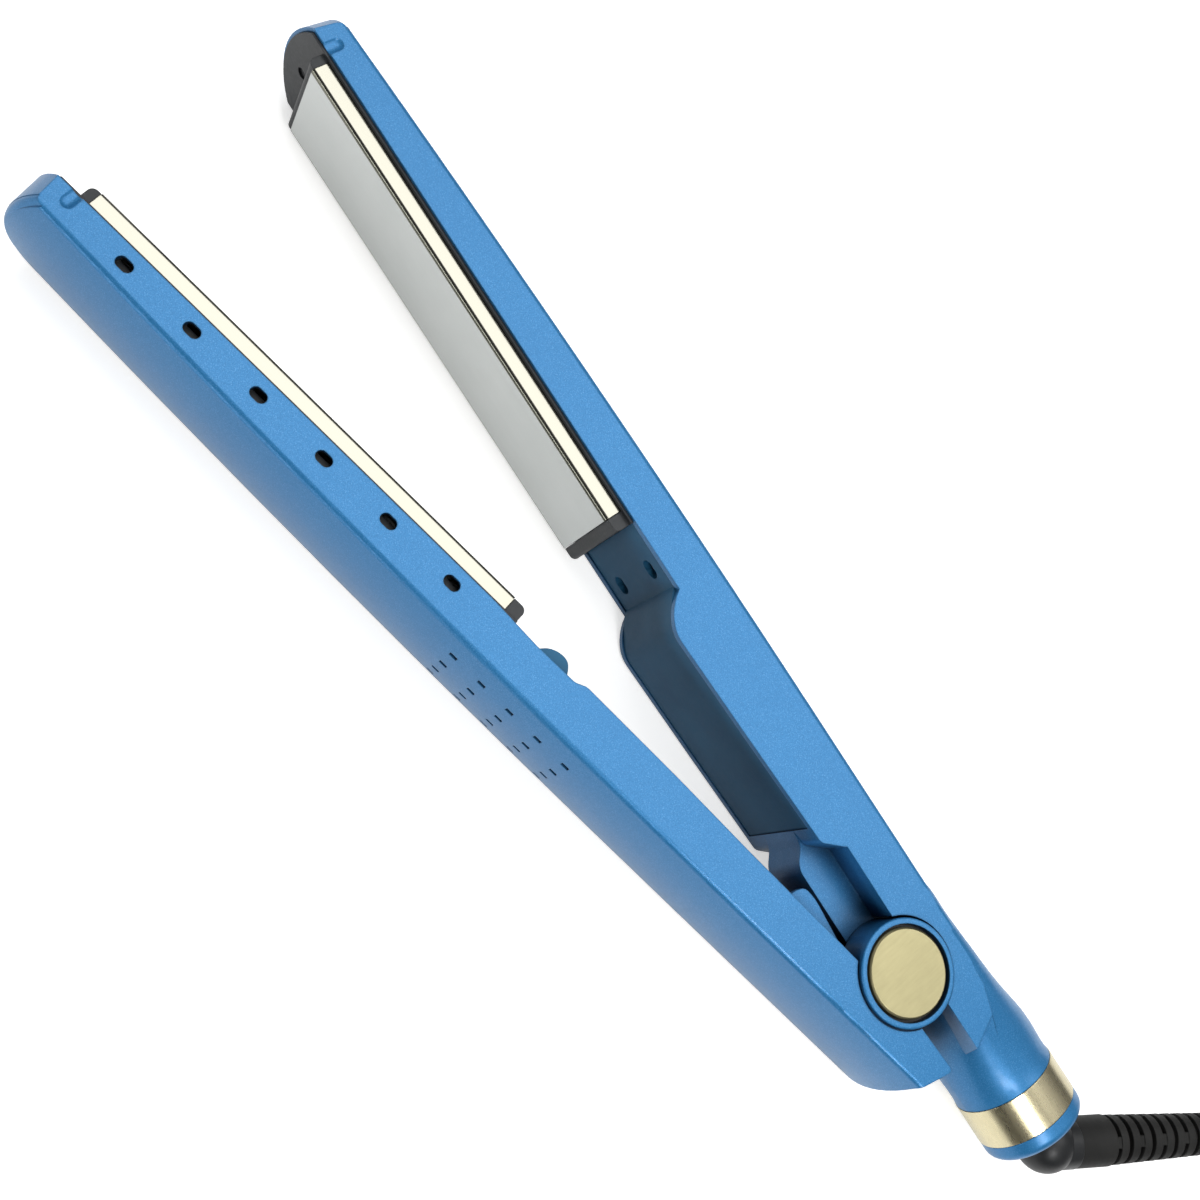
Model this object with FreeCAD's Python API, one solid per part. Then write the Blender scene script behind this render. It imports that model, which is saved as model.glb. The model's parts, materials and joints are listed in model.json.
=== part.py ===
import FreeCAD
import Part
import math
import os

# Flat-plate hair straightening iron, lying on its side, open as at rest.
# Millimetres.  Each arm is drawn in its own closed-arm space:
#   u  along the arm, 0 on the hinge axis, tip at +u
#   v  0 on the parting plane between the arms, negative towards the arm's own back
#   w  across the arm, 0 at mid depth
# The main arm keeps u along +X and v along +Y.  The lever arm is the mirror image,
# turned open about the hinge axis.  Both are then lifted so that the lower hinge ring
# touches z = 0.

# Whole arms
DEPTH = 34.0            # between the two flat side faces
HALF = DEPTH / 2
WALL = 1.8              # moulded wall
LIP = 1.0               # thinner wall where the plate carrier drops in
LIP_V = -8.6            # foot of that lip
OPEN_ANGLE = 13.3       # degrees between the arms at rest
BACK = 18.3             # parting plane to the edge of the back
TIP_RISE = 4.9          # the back comes in by this much at the tip
TAPER_START = 60.0      # where the back starts to come in
CROWN = 2.8             # the back bulges this much at mid depth
EDGE_R = 1.1            # eased edge between a side face and the back
TIP_U = 266.2           # tip of the side faces
TIP_ARC_R = 25.5        # the tip is round when seen from the back
TIP_ARC_U = TIP_U - math.sqrt(TIP_ARC_R ** 2 - HALF ** 2)
RIM_V = -5.4            # edge of the open side along the plate
TIP_CORNER_R = 1.7      # rounding of the back at the tip
TIP_LEAN = 0.09         # the end wall leans in towards the back

# Main arm handle
HANDLE_TOP_U = 96.6     # highest point of the inner face
HANDLE_TOP_V = 1.9
HANDLE_END_U = 39.0
POCKET_U = 107.5        # where the inner face drops to the pocket
POCKET_V = -5.5
NOTCH_U = 32.9          # foot of the step beside the hinge
COVER_T = 1.6
COVER_HALF = HALF - WALL - 0.2
COVER_DROP = 0.25       # the main cover sits this far inside its rim
CAVITY_START = 42.0     # hollow of the handle starts here
WELL_U = 115.0
WELL_W = 9.0
WELL_FLOOR_V = -8.6

# Hinge
RING_R = 13.1
RING_INNER_R = 11.7
RING_PROUD = 1.2
RIM_R = 0.5             # rounding of the ring's rim
LOBE_CLEAR_R = 13.7
RING_GROOVE_R = 13.6    # shadow groove round each raised ring
RING_GROOVE_DEPTH = 0.6
TONGUE_HALF = 8.0       # the main arm's tongue between the lever's cheeks
CHEEK_GAP = 0.4
KNUCKLE_R = 11.0
PIN_R = 4.0
RUN_FIT = 0.05          # radial running clearance
SNUG = 0.03             # gap between pieces fixed together
BUSH_R = 6.0
SPRING_ROOM_R = 9.6
SPRING_R = 7.8
SPRING_WIRE_R = 0.7
DISC_R = 10.8
COUNTERBORE_W = 13.9    # floor of the hinge counterbore, from mid depth
REST_Z = HALF + RING_PROUD

# Tail barrel of the main arm
BARREL_V = -15.5
BARREL_R = 13.8
BARREL_BORE_R = 11.6
BARREL_BORE_END = -33.0  # blind end of the bore
BAND_U0 = -44.2
BAND_U1 = -55.2
CAP_U1 = -60.2
CAP_OPEN_R = 9.6

# Heating plate
PLATE_U0 = 131.0
PLATE_U1 = 258.2
PLATE_HALF = 14.8
PLATE_V = -0.05         # face, so that closed plates don't overlap
PLATE_T = 2.0
PLATE_SKIRT_V = -7.4
PLATE_EDGE_R = 1.2
FLOAT = 0.8             # how far a plate sinks into its arm
CARRIER_V = -4.7
CARRIER_FLOOR_V = -10.6
CARRIER_STEP_V = PLATE_SKIRT_V - FLOAT - 0.25  # the tray narrows below the plate skirts
CARRIER_LOW_HALF = 13.6
NEAR_CAP_U = 127.0
FAR_CAP_U = 260.8
END_CAP_V = -0.6
HEATER_U0 = 148.0
HEATER_U1 = 236.0

# Thumbnail recess beside the end of each plate
SCOOP_U = 260.6
SCOOP_V = -8.3
SCOOP_R = 2.3
SCOOP_DEPTH = 0.75

# Vents
SIDE_VENT_U = 144.0
SIDE_VENT_PITCH = 19.8
SIDE_VENT_V = -9.6
BACK_VENT_U = 95.5
BACK_VENT_PITCH = 9.1

# Controls on the lever's inner face
LEVER_INNER_V = -6.2
ROCKER_U = 84.0
DIAL_U = 60.0
DIAL_R = 8.0
LENS_U = 71.5
LENS_W = 9.0
LENS_R = 1.5
LEVER_SCREWS = ((46.0, -9.0), (113.0, 0.0))
LEVER_SCREW_SEAT = -7.0
ROCKER_PIVOT_V = LEVER_INNER_V - 2.0

# Wire ducts through the hinge
WIRE_DUCT_R = 3.2
WIRE_DUCT_V = -14.2
LEVER_DUCT_R = 2.2
LEVER_DUCT_V = -13.2

# Cord
ELBOW_U = -65.3
CORD_ANGLE = 54.0       # degrees between barrel axis and cord, towards the main arm's back
BOOT_R = 6.5
BOOT_LENGTH = 62.0
BOOT_START = 7.0
BOOT_SMOOTH = 11.0
RIB_PITCH = 3.8
RIB_GAP = 1.5
RIB_BAR = 2.8           # width of the bars between ribs
CORD_R = 3.5
CORD_NECK_R = 3.3       # jacket squeezed inside the boot
CORD_NECK = 64.0        # full size starts here
CORD_END = 112.0
CORE_R = 1.1


def vec(x, y, z=0.0):
    return FreeCAD.Vector(x, y, z)


def block(u0, u1, v0, v1, w0, w1):
    """Box between two corners."""
    low = vec(min(u0, u1), min(v0, v1), min(w0, w1))
    return Part.makeBox(abs(u1 - u0), abs(v1 - v0), abs(w1 - w0), low)


def rod_w(radius, w0, w1, u=0.0, v=0.0):
    """Round bar across the arm."""
    return Part.makeCylinder(radius, w1 - w0, vec(u, v, w0), vec(0, 0, 1))


def rod_u(radius, u0, u1, v=0.0, w=0.0):
    """Round bar along the arm."""
    return Part.makeCylinder(radius, u1 - u0, vec(u0, v, w), vec(1, 0, 0))


def rod_v(radius, v0, v1, u=0.0, w=0.0):
    """Round bar square to the parting plane."""
    return Part.makeCylinder(radius, v1 - v0, vec(u, v0, w), vec(0, 1, 0))


def ring_u(outer, inner, u0, u1, v=0.0):
    return rod_u(outer, u0, u1, v).cut(rod_u(inner, u0 - 1, u1 + 1, v))


def ring_w(outer, inner, w0, w1):
    return rod_w(outer, w0, w1).cut(rod_w(inner, w0 - 1, w1 + 1))


def line(a, b):
    return Part.makeLine(vec(*a), vec(*b))


def curve(points, start=None, end=None):
    """Smooth curve through points of the u-v plane, with optional end directions."""
    spline = Part.BSplineCurve()
    places = [vec(*p) for p in points]
    if start and end:
        spline.interpolate(Points=places, InitialTangent=vec(*start), FinalTangent=vec(*end))
    else:
        spline.interpolate(places)
    return spline.toShape()


def plate_of(edges, w0, w1):
    """Outline in the u-v plane, extruded across the arm."""
    face = Part.Face(Part.Wire(edges))
    face.translate(vec(0, 0, w0))
    return face.extrude(vec(0, 0, w1 - w0))


def prism(points, w0, w1):
    """Straight-sided outline in the u-v plane, extruded across the arm."""
    loop = points + points[:1]
    return plate_of([line(a, b) for a, b in zip(loop, loop[1:])], w0, w1)


def mirrored_pair(shape):
    """The shape and its mirror image across mid depth, as one group."""
    return Part.makeCompound([shape, shape.mirror(vec(0, 0, 0), vec(0, 0, 1))])


def fused(first, *others):
    return first.fuse(list(others)).removeSplitter()


# ---------------------------------------------------------------- arm bodies

def back_v(u):
    """Edge of the back at station u."""
    past = max(u - TAPER_START, 0.0) / (TIP_U - TAPER_START)
    return TIP_RISE * past ** 2 - BACK


def tip_radius(v):
    """Radius of the rounded end wall at depth v."""
    return TIP_ARC_R + TIP_LEAN * (v - RIM_V)


def d_wire(u, inset):
    """D-shaped section: flat sides and a crowned back with eased edges."""
    half = HALF - inset
    back = back_v(u) + inset
    crown_r = (half ** 2 + CROWN ** 2) / (2 * CROWN)
    top = 8.0

    def crown(w):
        return back - CROWN + crown_r - math.sqrt(crown_r ** 2 - w ** 2)

    def at(v, w):
        return vec(u, v, w)

    def side(sign):
        low = at(back + EDGE_R, sign * half)
        mid = at(back + 0.24 * EDGE_R, sign * (half - 0.22 * EDGE_R))
        inner = at(crown(half - EDGE_R), sign * (half - EDGE_R))
        return low, mid, inner

    left, right = side(-1), side(1)
    edges = [
        Part.makeLine(at(top, -half), left[0]),
        Part.Arc(*left).toShape(),
        Part.Arc(left[2], at(crown(0), 0), right[2]).toShape(),
        Part.Arc(right[2], right[1], right[0]).toShape(),
        Part.makeLine(right[0], at(top, half)),
        Part.makeLine(at(top, half), at(top, -half)),
    ]
    return Part.Wire(edges)


def crowned_bar(u0, inset):
    """Long crowned bar from u0 to the rounded tip, inset from the outer skin."""
    stations = [u0, 20, 60, 100, 140, 180, 220, 250, 285]
    stations = [u0] + [s for s in stations[1:] if s > u0 + 10]
    bar = Part.makeLoft([d_wire(u, inset) for u in stations], True, False)
    low_r, high_r = tip_radius(-40) - inset, tip_radius(20) - inset
    end = Part.makeCone(low_r, high_r, 60, vec(TIP_ARC_U, -40), vec(0, 1, 0))
    keep = fused(end, block(u0 - 5, TIP_ARC_U, -40, 20, -HALF, HALF))
    return bar.common(keep)


def tip_rounding():
    """Waste removed where the back meets the rounded tip, swept along that corner."""
    crown_r = (HALF ** 2 + CROWN ** 2) / (2 * CROWN)
    places = []
    for i in range(-11, 12):
        w = 2.0 * i
        v = back_v(TIP_U) - CROWN + crown_r - math.sqrt(crown_r ** 2 - w ** 2)
        u = TIP_ARC_U + math.sqrt(tip_radius(v) ** 2 - w ** 2)
        places.append(vec(u, v, w))
    corner = Part.BSplineCurve()
    corner.interpolate(places)
    start = places[0]
    out = vec(start.x - TIP_ARC_U, 0, start.z).normalize()
    up = vec(0, 1, 0)
    r = TIP_CORNER_R

    def at(a, b):
        return start + out * a + up * b

    k = r * (1 - math.sqrt(0.5))
    outline = Part.Wire([
        Part.makeLine(at(3, -3), at(3, r)),
        Part.makeLine(at(3, r), at(0, r)),
        Part.Arc(at(0, r), at(-k, k), at(-r, 0)).toShape(),
        Part.makeLine(at(-r, 0), at(-r, -3)),
        Part.makeLine(at(-r, -3), at(3, -3)),
    ])
    sweep = Part.BRepOffsetAPI.MakePipeShell(Part.Wire(corner.toShape()))
    sweep.setBiNormalMode(up)
    sweep.add(outline)
    sweep.build()
    sweep.makeSolid()
    return sweep.shape()


def main_inner_edges():
    """Inner outline of the main arm's side face, tip to tail."""
    return [
        line((300, RIM_V), (POCKET_U, RIM_V)),
        curve([(POCKET_U, RIM_V), (104.2, -1.2), (HANDLE_TOP_U, HANDLE_TOP_V)], (-0.5, 1), (-1, 0)),
        curve([(HANDLE_TOP_U, HANDLE_TOP_V), (70, 1.1), (HANDLE_END_U, 0)]),
        curve([(HANDLE_END_U, 0), (36.3, -1.6), (NOTCH_U, RIM_V)], (-1, 0), (-0.7, -1)),
        line((NOTCH_U, RIM_V), (-30, -5.0)),
    ]


def main_side_profile():
    edges = main_inner_edges()
    edges += [line((-30, -5.0), (-30, -40)), line((-30, -40), (300, -40)), line((300, -40), (300, RIM_V))]
    return plate_of(edges, -HALF, HALF)


def oval_wire(u, half_w, v_top, v_low, power):
    """Rounded-box section at station u; power 2 is an ellipse."""
    centre = (v_top + v_low) / 2
    half_v = (v_top - v_low) / 2
    count = 48
    points = []
    for i in range(count):
        a = 2 * math.pi * i / count
        c, s = math.cos(a), math.sin(a)
        reach = (abs(c / half_v) ** power + abs(s / half_w) ** power) ** (-1 / power)
        points.append(vec(u, centre + reach * c, reach * s))
    spline = Part.BSplineCurve()
    spline.interpolate(points, PeriodicFlag=True)
    return Part.Wire(spline.toShape())


def tail_flare():
    """The boxy arm swells into the round barrel."""
    top = BARREL_V + BARREL_R
    low = BARREL_V - BARREL_R
    sections = [
        (16, 16.5, -7.4, -18.8, 5.0),
        (6, 17.2, -5.9, -20.6, 4.6),
        (-4, 17.3, -4.3, -22.1, 3.4),
        (-14, 17.0, -3.5, -23.8, 2.8),
        (-22, 16.0, -2.8, -25.9, 2.4),
        (-30, 14.7, -2.0, -28.3, 2.15),
        (-37, BARREL_R, top, low, 2.0),
        (BAND_U0, BARREL_R, top, low, 2.0),
    ]
    flare = Part.makeLoft([oval_wire(*s) for s in sections], True, False)
    return flare.common(block(-60, 20, -40, 10, -HALF, HALF))


def arrow_lug():
    """The flat side face runs on past the hinge and ends in a chevron that slopes to the barrel."""
    lug = prism([(0, -5.0), (-26, -5.0), (-22.5, -13.8), (-15, -16.5), (0, -16.5)], -HALF, HALF)
    facet_low = [vec(-28.2, -4.9, 10.4), vec(-29.4, -12.7, 14.5)]
    facet_high = [vec(-26, -5.0, HALF), vec(-22.5, -13.8, HALF)]
    facet_root = [vec(-20, -5.0, 9.0), vec(-18, -13.4, 9.0)]
    slope = wedge(facet_low, facet_high, facet_root)
    return fused(lug, slope, slope.mirror(vec(0, 0, 0), vec(0, 0, 1)))


def wedge(low, high, inner):
    """Sloping wedge: two low points, two high points and the two points under them."""
    a, b = low
    c, d = high
    e, f = inner
    faces = [[a, c, e], [b, f, d], [a, b, d], [a, d, c], [c, d, f], [c, f, e], [a, e, f], [a, f, b]]
    shell = Part.Shell([Part.Face(Part.makePolygon(t + t[:1])) for t in faces])
    solid = Part.Solid(shell)
    if solid.Volume < 0:
        solid.reverse()
    return solid


def tongue():
    """Middle web of the main arm and the knuckle round the hinge pin."""
    edges = [
        line((0, -8), (0, 4.6)),
        line((0, 4.6), (31.6, 4.5)),
        curve([(31.6, 4.5), (35.0, 3.4), (37.6, 1.1), (CAVITY_START, 0.1)], (1, 0), (1, -0.1)),
        line((CAVITY_START, 0.1), (CAVITY_START, -8)),
        line((CAVITY_START, -8), (0, -8)),
    ]
    web = plate_of(edges, -TONGUE_HALF, TONGUE_HALF)
    knuckle = rod_w(KNUCKLE_R, -TONGUE_HALF, TONGUE_HALF)
    root = block(-8, 20, -18, -6, -TONGUE_HALF, TONGUE_HALF)
    return fused(web, knuckle, root)


def lobe_clearance():
    """Room in the main arm for the lever's two hinge lobes."""
    low = TONGUE_HALF - 0.1
    upper = rod_w(LOBE_CLEAR_R, low, 40)
    lower = rod_w(LOBE_CLEAR_R, -40, -low)
    return upper, lower


def screw_post(u, w, top_v):
    """Post standing on the back wall, and the hole down it."""
    floor_v = back_v(u) - CROWN + WALL - 0.6
    post = rod_v(2.7, floor_v, top_v, u, w)
    return post, rod_v(1.12, top_v - 6.5, top_v + 1, u, w)


def side_scoops():
    """Shallow thumbnail recess in each side face beside the end of the plate."""
    w = HALF - SCOOP_DEPTH + SCOOP_R
    cut = rod_v(SCOOP_R, SCOOP_V, 0, SCOOP_U, w)
    ball = Part.makeSphere(SCOOP_R, vec(SCOOP_U, SCOOP_V, w))
    return mirrored_pair(fused(cut, ball)).Solids


def back_vents():
    """Five rows of four short slots through the back."""
    cuts = []
    for row in range(5):
        u = BACK_VENT_U + row * BACK_VENT_PITCH
        for w in (-9.9, -3.3, 3.3, 9.9):
            cuts.append(block(u - 1.1, u + 1.1, -40, -13.5, w - 0.6, w + 0.6))
    return cuts


def side_vents(grow=0.0):
    """Six oval holes through each side face of the lever arm, or wider ones in the tray behind."""
    r = 1.5 + grow
    cuts = []
    for i in range(6):
        u = SIDE_VENT_U + i * SIDE_VENT_PITCH
        for w0, w1 in ((HALF - WALL - 1.5, HALF + 2), (-HALF - 2, -HALF + WALL + 1.5)):
            hole = fused(rod_w(r, w0, w1, u - 0.7, SIDE_VENT_V), rod_w(r, w0, w1, u + 0.7, SIDE_VENT_V),
                         block(u - 0.7, u + 0.7, SIDE_VENT_V - r, SIDE_VENT_V + r, w0, w1))
            cuts.append(hole)
    return cuts


def carrier_rebate():
    """Room for the plate carrier behind the thin lip."""
    return crowned_bar(NEAR_CAP_U, LIP).common(block(NEAR_CAP_U - 0.1, 300, LIP_V, 8, -HALF, HALF))


def main_housing():
    arm = crowned_bar(-26.5, 0).common(main_side_profile())
    arm = arm.cut(block(-40, 0, -40, 20, -20, 20))
    body = fused(arm, tail_flare(), arrow_lug()).cut(list(lobe_clearance()))
    body = fused(body, tongue(), rod_u(BARREL_R - 0.85, BAND_U1, BAND_U0, BARREL_V))
    hollow = crowned_bar(CAVITY_START, WALL)
    cuts = [hollow, carrier_rebate()]
    cuts += [rod_u(BARREL_BORE_R, BAND_U1 - 1, BARREL_BORE_END, BARREL_V)]
    cuts += [rod_u(WIRE_DUCT_R, BARREL_BORE_END - 1, 44, WIRE_DUCT_V)]
    cuts += [rod_w(BUSH_R + SNUG, -20, 20), rod_w(SPRING_ROOM_R, 2.0, 20)]
    cuts += [cover_tab(0.1)]
    cuts += [tip_rounding()] + side_scoops() + back_vents()
    body = body.cut(cuts)
    for w in (-WELL_W, WELL_W):
        post, hole = screw_post(WELL_U, w, -9.7)
        body = body.fuse(post).cut(hole)
    return body


def lever_side_profile():
    edges = [
        line((300, RIM_V), (134, RIM_V)),
        line((134, RIM_V), (120, -6.1)),
        line((120, -6.1), (108.5, -6.0)),
        curve([(108.5, -6.0), (106.7, -5.5), (105, -4.8), (103, -4.75)], (-1, 0), (-1, 0)),
        line((103, -4.75), (75, -5.1)),
        line((75, -5.1), (50, -5.8)),
        line((50, -5.8), (14, -6.4)),
        line((14, -6.4), (-10.5, -7.3)),
        line((-10.5, -7.3), (-22.6, -9.4)),
        curve([(-22.6, -9.4), (-23.6, -10.0), (-23.5, -11.0)]),
        line((-23.5, -11.0), (-19.2, -19.0)),
        line((-19.2, -19.0), (-17.5, -40)),
        line((-17.5, -40), (300, -40)),
        line((300, -40), (300, RIM_V)),
    ]
    return plate_of(edges, -HALF, HALF)


def ring_groove():
    """Fine groove round each raised ring."""
    groove = ring_w(RING_GROOVE_R, RING_R - 0.2, HALF - RING_GROOVE_DEPTH, HALF + 2)
    return mirrored_pair(groove).Solids


def hinge_lobes():
    """Round lobe at each side of the hinge, its outer rim rounded."""
    lobe = rod_w(RING_R, TONGUE_HALF + CHEEK_GAP, REST_Z)
    rim = [e for e in lobe.Edges if e.Closed and abs(e.CenterOfMass.z - REST_Z) < 0.01]
    return mirrored_pair(lobe.makeFillet(RIM_R, rim)).Solids


def guide_ribs():
    """Two ribs that pass either side of the main arm's web."""
    edges = [
        line((12, -8), (12, -4.8)),
        curve([(12, -4.8), (21.2, -2.0), (27, -0.15), (29.6, 0.1)], (1, 0.25), (1, 0)),
        curve([(29.6, 0.1), (31.5, -0.9), (33.0, -6.4)], (1, 0), (0.1, -1)),
        line((33.0, -6.4), (33.0, -8)),
        line((33.0, -8), (12, -8)),
    ]
    rib = plate_of(edges, TONGUE_HALF + CHEEK_GAP, TONGUE_HALF + CHEEK_GAP + 1.8)
    return mirrored_pair(rib).Solids


def lever_housing():
    arm = crowned_bar(-27, 0).common(lever_side_profile())
    body = fused(arm.cut(ring_groove()), *hinge_lobes(), *guide_ribs())
    gap = TONGUE_HALF + CHEEK_GAP - 0.001
    cuts = [crowned_bar(CAVITY_START - 4, WALL), carrier_rebate()]
    cuts += [rod_w(KNUCKLE_R + 0.5, -gap, gap), block(-40, 12, -7.6, 20, -gap, gap)]
    cuts += [rod_u(LEVER_DUCT_R, -2, 44, LEVER_DUCT_V)]
    cuts += [rod_w(PIN_R + SNUG, -20, 20)]
    for sign in (1, -1):
        low, high = sorted((sign * COUNTERBORE_W, sign * 25))
        cuts.append(rod_w(RING_INNER_R, low, high))
    cuts += [tip_rounding()] + side_scoops() + back_vents() + side_vents()
    body = body.cut(cuts)
    for u, w in LEVER_SCREWS:
        post, hole = screw_post(u, w, LEVER_INNER_V - COVER_T - 0.1)
        body = body.fuse(post).cut(hole)
    return body


# ---------------------------------------------------------------- covers

def cover_tab(clear):
    """Tab that hooks the main cover under the web; clear widens it into its slot."""
    return block(39.6 - clear, CAVITY_START + 0.5, -3.0 - clear, -1.4 + clear, -6 - clear, 6 + clear)


def main_cover():
    """Inner face of the main handle, running down into the screw pocket."""
    half = COVER_HALF
    path = [
        line((NEAR_CAP_U - SNUG, POCKET_V), (POCKET_U + 1.2, POCKET_V)),
        curve([(POCKET_U + 1.2, POCKET_V), (104.3, -1.4), (HANDLE_TOP_U, HANDLE_TOP_V)], (-0.6, 1), (-1, 0)),
        curve([(HANDLE_TOP_U, HANDLE_TOP_V), (70, 1.1), (CAVITY_START + 0.1, 0.1)]),
    ]
    under = [
        line((CAVITY_START + 0.1, 0.1), (CAVITY_START + 0.1, 0.1 - COVER_T)),
        line((CAVITY_START + 0.1, 0.1 - COVER_T), (95, HANDLE_TOP_V - COVER_T)),
        line((95, HANDLE_TOP_V - COVER_T), (101.5, -1.0 - COVER_T)),
        line((101.5, -1.0 - COVER_T), (106.0, POCKET_V - COVER_T)),
        line((106.0, POCKET_V - COVER_T), (NEAR_CAP_U - SNUG, POCKET_V - COVER_T)),
        line((NEAR_CAP_U - SNUG, POCKET_V - COVER_T), (NEAR_CAP_U - SNUG, POCKET_V)),
    ]
    cover = plate_of(path + under, -half, half)
    cover.translate(vec(0, -COVER_DROP, 0))
    for w in (-WELL_W, WELL_W):
        cup = fused(rod_v(3.0, -9.6, POCKET_V - 1, WELL_U - 0.5, w),
                    rod_v(3.0, -9.6, POCKET_V - 1, WELL_U + 0.5, w))
        well = fused(rod_v(1.9, WELL_FLOOR_V, 0, WELL_U - 0.7, w),
                     rod_v(1.9, WELL_FLOOR_V, 0, WELL_U + 0.7, w))
        cover = fused(cover, cup).cut([well, rod_v(1.25, -12, -5, WELL_U, w)])
    return fused(cover, cover_tab(0))


def lever_cover():
    """Inner face of the lever handle, with the bump that drops into the main arm's pocket."""
    half = COVER_HALF
    u0 = CAVITY_START - 4 + 0.1
    top_v = LEVER_INNER_V
    foot_v = top_v - COVER_T
    cover = block(u0, NEAR_CAP_U - SNUG, foot_v, top_v, -half, half)
    crest = [(106.0, top_v), (109.3, -3.8), (111.2, -1.4), (113.4, -1.0), (117.6, -2.9), (121.6, top_v)]
    bump_edges = [
        line((106.0, foot_v), (106.0, top_v)),
        curve(crest, (1, 0.1), (1, -0.2)),
        line((121.6, top_v), (121.6, foot_v)),
        line((121.6, foot_v), (106.0, foot_v)),
    ]
    bump = plate_of(bump_edges, -11, 11)
    cover = fused(cover, bump)
    cuts = []
    for u, w in LEVER_SCREWS:
        cuts += [rod_v(1.25, -10, 4, u, w), rod_v(2.4, LEVER_SCREW_SEAT, 4, u, w)]
    cuts += [block(ROCKER_U - 8.1, ROCKER_U + 8.1, -12, 0, -5.6, 5.6)]
    cuts += [rod_v(DIAL_R + 0.3, -12, 0, DIAL_U), rod_v(LENS_R + 0.05, -12, 0, LENS_U, LENS_W)]
    return cover.cut(cuts)


# ---------------------------------------------------------------- plates and heaters

def heating_plate():
    """Flat plate with rounded long edges and a skirt down each side."""
    skirt = PLATE_SKIRT_V
    h, r, v, t = PLATE_HALF, PLATE_EDGE_R, PLATE_V, PLATE_T
    k = r * (1 - math.sqrt(0.5))

    def at(y, z):
        return vec(PLATE_U0, y, z)

    wire = Part.Wire([
        Part.makeLine(at(v, -h + r), at(v, h - r)),
        Part.Arc(at(v, h - r), at(v - k, h - k), at(v - r, h)).toShape(),
        Part.makeLine(at(v - r, h), at(skirt, h)),
        Part.makeLine(at(skirt, h), at(skirt, h - t)),
        Part.makeLine(at(skirt, h - t), at(v - t, h - t)),
        Part.makeLine(at(v - t, h - t), at(v - t, t - h)),
        Part.makeLine(at(v - t, t - h), at(skirt, t - h)),
        Part.makeLine(at(skirt, t - h), at(skirt, -h)),
        Part.makeLine(at(skirt, -h), at(v - r, -h)),
        Part.Arc(at(v - r, -h), at(v - k, k - h), at(v, r - h)).toShape(),
    ])
    return Part.Face(wire).extrude(vec(PLATE_U1 - PLATE_U0, 0, 0))


def plate_carrier():
    """Black tray round the plate, with a cap at each end and a shelf out to the tip."""
    flange = crowned_bar(NEAR_CAP_U, LIP + 0.05)
    flange = flange.common(block(NEAR_CAP_U, 300, LIP_V + 0.05, CARRIER_V, -HALF, HALF))
    body = crowned_bar(NEAR_CAP_U, WALL + 0.05)
    body = body.common(block(NEAR_CAP_U, 300, CARRIER_FLOOR_V, LIP_V + 0.5, -HALF, HALF))
    near = rounded_cap(NEAR_CAP_U, PLATE_U0 - 0.15, -1)
    far = rounded_cap(PLATE_U1 + 0.15, FAR_CAP_U, 1)
    tray = fused(flange, body, near, far)
    u0, u1 = PLATE_U0 - 0.15, PLATE_U1 + 0.15
    room = block(u0, u1, CARRIER_STEP_V, 5, -PLATE_HALF - 0.2, PLATE_HALF + 0.2)
    deep_room = block(u0, u1, CARRIER_FLOOR_V + 1.2, 5, -CARRIER_LOW_HALF, CARRIER_LOW_HALF)
    wire_slot = block(NEAR_CAP_U - 1, PLATE_U0 + 1, -10.0, -7.7, -5, 5)
    under_tip = block(262.6, 280, -30, CARRIER_V - 1.8, -HALF, HALF)
    dimple = rod_v(1.5, CARRIER_V - 0.6, 0, 264.6)
    return tray.cut([room, deep_room, wire_slot, under_tip, dimple] + side_vents(0.3))


def rounded_cap(u0, u1, outer_side):
    """Black block at a plate end, with its outer top edge rounded off."""
    cap = block(u0, u1, -8, END_CAP_V, -PLATE_HALF + 0.2, PLATE_HALF - 0.2)
    edge_u = u0 if outer_side < 0 else u1
    corner = (edge_u, END_CAP_V)
    edges = [e for e in cap.Edges if math.dist(corner, (e.CenterOfMass.x, e.CenterOfMass.y)) < 0.01]
    return cap.makeFillet(1.6, edges)


def heater():
    """Ceramic heating strip under the plate."""
    top = PLATE_V - PLATE_T - 0.05
    return block(HEATER_U0, HEATER_U1, top - 1.3, top, -9, 9)


def heater_clamp():
    """Spring-steel strap that holds the heater against the plate, feet out to the skirts."""
    top = PLATE_V - PLATE_T - 1.45
    strap = block(HEATER_U0 + 4, HEATER_U1 - 4, top - 0.6, top, -10.5, 10.5)
    feet = []
    for u in (HEATER_U0 + 6, (HEATER_U0 + HEATER_U1) / 2 - 4, HEATER_U1 - 14):
        for sign in (-1, 1):
            w0, w1 = sorted((sign * 9.5, sign * (PLATE_HALF - PLATE_T - 0.1)))
            feet.append(block(u, u + 8, top - 1.6, top - 0.4, w0, w1))
    return fused(strap, *feet)


def float_pads():
    """Four silicone blocks between the tray floor and the plate's underside."""
    low = CARRIER_FLOOR_V + 1.2 + 0.02
    top = PLATE_V - PLATE_T - 0.05
    pads = []
    for u in (136, 242):
        for w in (-9.5, 5.0):
            pads.append(block(u, u + 8, low, top, w, w + 4.5))
    return Part.makeCompound(pads)


def heater_leads():
    """Two flat leads from the heater out through the near cap."""
    leads = []
    for w in (-3, 3):
        leads.append(block(118.5, HEATER_U0 - 0.4, -8.5, -7.9, w - 0.9, w + 0.9))
    return Part.makeCompound(leads)


def thermal_fuse():
    return rod_u(1.7, 176, 188, -6.4, 0.0)


def temperature_sensor():
    return fused(rod_u(1.1, 200, 207, -6.4, 0.0), Part.makeSphere(1.1, vec(207, -6.4, 0)))


# ---------------------------------------------------------------- hinge pieces

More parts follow.
